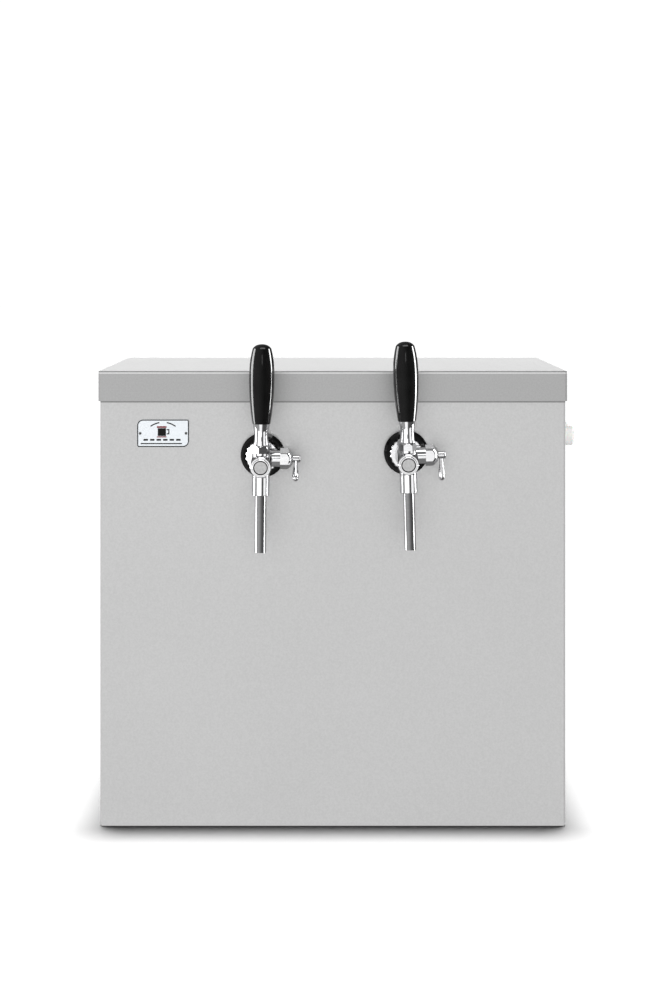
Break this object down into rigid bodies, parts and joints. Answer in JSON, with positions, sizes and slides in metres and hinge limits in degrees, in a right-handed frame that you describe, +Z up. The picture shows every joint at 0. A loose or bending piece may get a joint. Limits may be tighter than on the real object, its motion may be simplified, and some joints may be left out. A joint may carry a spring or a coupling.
{
  "type": "two-tap draught beer cooler",
  "caption": "Counter-top stainless ice chest that cools draught beer in coils and pours it from two lever taps.",
  "frame": {"origin": "centre of the box's footprint, on the surface that it stands on", "axes": "+Z up, -Y out of the front that carries the taps, +X to the right of someone facing the taps"},
  "size_m": [0.5733, 0.4689, 0.5665],
  "materials": {
    "brushed_case": "fine brushed stainless sheet",
    "tank_steel": "satin stainless steel",
    "foam": "rigid polyurethane foam",
    "seal_rubber": "black rubber",
    "nameplate_metal": null,
    "tap_chrome": "polished chrome on brass",
    "medallion_satin": "satin nickel",
    "black_gloss": "glossy black moulded plastic",
    "shank_steel": "turned stainless steel",
    "white_plastic": "white moulded acetal",
    "drain_lever_blue": "blue dipped steel lever"
  },
  "bodies": {
    "cabinet": {"outer_shell": "brushed_case", "back_panel": "brushed_case", "panel_screws": "tank_steel", "base_pan": "brushed_case", "inner_tank": "tank_steel", "insulation": "foam", "nameplate": "nameplate_metal", "nameplate_rivets": "tank_steel", "left_tap_body": "tap_chrome", "right_tap_body": "tap_chrome", "bonnet_nuts": "tap_chrome", "lever_ball_seats": "white_plastic", "front_caps": "tap_chrome", "cap_rings": "black_gloss", "cap_medallions": "medallion_satin", "coupling_nuts": "tap_chrome", "rosettes": "black_gloss", "left_shank": "shank_steel", "right_shank": "shank_steel", "shank_washers": "shank_steel", "shank_nuts": "shank_steel", "tail_nuts": "shank_steel", "left_nozzle_collar": "tap_chrome", "right_nozzle_collar": "tap_chrome", "left_nozzle_tube": "tap_chrome", "right_nozzle_tube": "tap_chrome", "nozzle_orings": "seal_rubber", "gland_nuts": "tap_chrome", "spindle_packings": "white_plastic", "line_connectors": "white_plastic", "connector_nuts": "white_plastic", "connector_seals": "seal_rubber", "left_coil": "tank_steel", "right_coil": "tank_steel", "coil_rack": "tank_steel", "drain_valve_body": "shank_steel", "drain_valve_nut": "shank_steel"},
    "lid": {"lid_cover": "brushed_case", "lid_liner": "tank_steel", "lid_insulation": "foam", "lid_gasket": "seal_rubber"},
    "left_lever": {"left_lever": "tap_chrome", "left_handle": "black_gloss"},
    "left_piston": {"left_piston": "shank_steel", "left_piston_seal": "seal_rubber"},
    "left_compensator_lever": {"left_compensator_lever": "tap_chrome"},
    "left_compensator_core": {"left_compensator_core": "white_plastic"},
    "left_line_collet": {"left_line_collet": "white_plastic"},
    "right_lever": {"right_lever": "tap_chrome", "right_handle": "black_gloss"},
    "right_piston": {"right_piston": "shank_steel", "right_piston_seal": "seal_rubber"},
    "right_compensator_lever": {"right_compensator_lever": "tap_chrome"},
    "right_compensator_core": {"right_compensator_core": "white_plastic"},
    "right_line_collet": {"right_line_collet": "white_plastic"},
    "drain_valve_handle": {"drain_valve_handle": "drain_lever_blue", "drain_valve_ball": "shank_steel"}
  },
  "joints": [
    {"name": "lid_lift", "type": "slide", "parent": "cabinet", "child": "lid", "axis": [0, 0, 1], "range_m": [0, 0.15]},
    {"name": "left_tap_lever", "type": "hinge", "parent": "cabinet", "child": "left_lever", "pos_m": [-0.08122, -0.232, 0.442], "axis": [1, 0, -0.0087], "range_deg": [0, 22]},
    {"name": "left_piston_slide", "type": "slide", "parent": "cabinet", "child": "left_piston", "axis": [0.0014, 0.9877, 0.1564], "range_m": [0, 0.0057]},
    {"name": "left_compensator_turn", "type": "hinge", "parent": "cabinet", "child": "left_compensator_lever", "pos_m": [-0.08131, -0.20593, 0.43156], "axis": [1, 0, -0.0087], "range_deg": [-24, 96]},
    {"name": "left_core_slide", "type": "slide", "parent": "cabinet", "child": "left_compensator_core", "axis": [0.0014, 0.9877, 0.1564], "range_m": [-0.00074, 0.00281]},
    {"name": "left_collet_release", "type": "slide", "parent": "cabinet", "child": "left_line_collet", "axis": [-1, 0, 0], "range_m": [0, 0.0014]},
    {"name": "right_tap_lever", "type": "hinge", "parent": "cabinet", "child": "right_lever", "pos_m": [0.08495, -0.232, 0.445], "axis": [0.9997, 0, 0.0262], "range_deg": [0, 22]},
    {"name": "right_piston_slide", "type": "slide", "parent": "cabinet", "child": "right_piston", "axis": [-0.0041, 0.9877, 0.1564], "range_m": [0, 0.0057]},
    {"name": "right_compensator_turn", "type": "hinge", "parent": "cabinet", "child": "right_compensator_lever", "pos_m": [0.08522, -0.20593, 0.43456], "axis": [0.9997, 0, 0.0262], "range_deg": [-60, 60]},
    {"name": "right_core_slide", "type": "slide", "parent": "cabinet", "child": "right_compensator_core", "axis": [-0.0041, 0.9877, 0.1564], "range_m": [-0.00178, 0.00178]},
    {"name": "right_collet_release", "type": "slide", "parent": "cabinet", "child": "right_line_collet", "axis": [-1, 0, 0], "range_m": [0, 0.0014]},
    {"name": "drain_valve_turn", "type": "hinge", "parent": "cabinet", "child": "drain_valve_handle", "pos_m": [0, 0.191, 0.07], "axis": [0, 0, 1], "range_deg": [0, 90]}
  ],
  "couplings": [
    {"joint": "left_piston_slide", "follows": "left_tap_lever", "m_per_rad": 0.0146},
    {"joint": "left_core_slide", "follows": "left_compensator_turn", "m_per_rad": 0.00165},
    {"joint": "right_piston_slide", "follows": "right_tap_lever", "m_per_rad": 0.0146},
    {"joint": "right_core_slide", "follows": "right_compensator_turn", "m_per_rad": 0.00165}
  ]
}
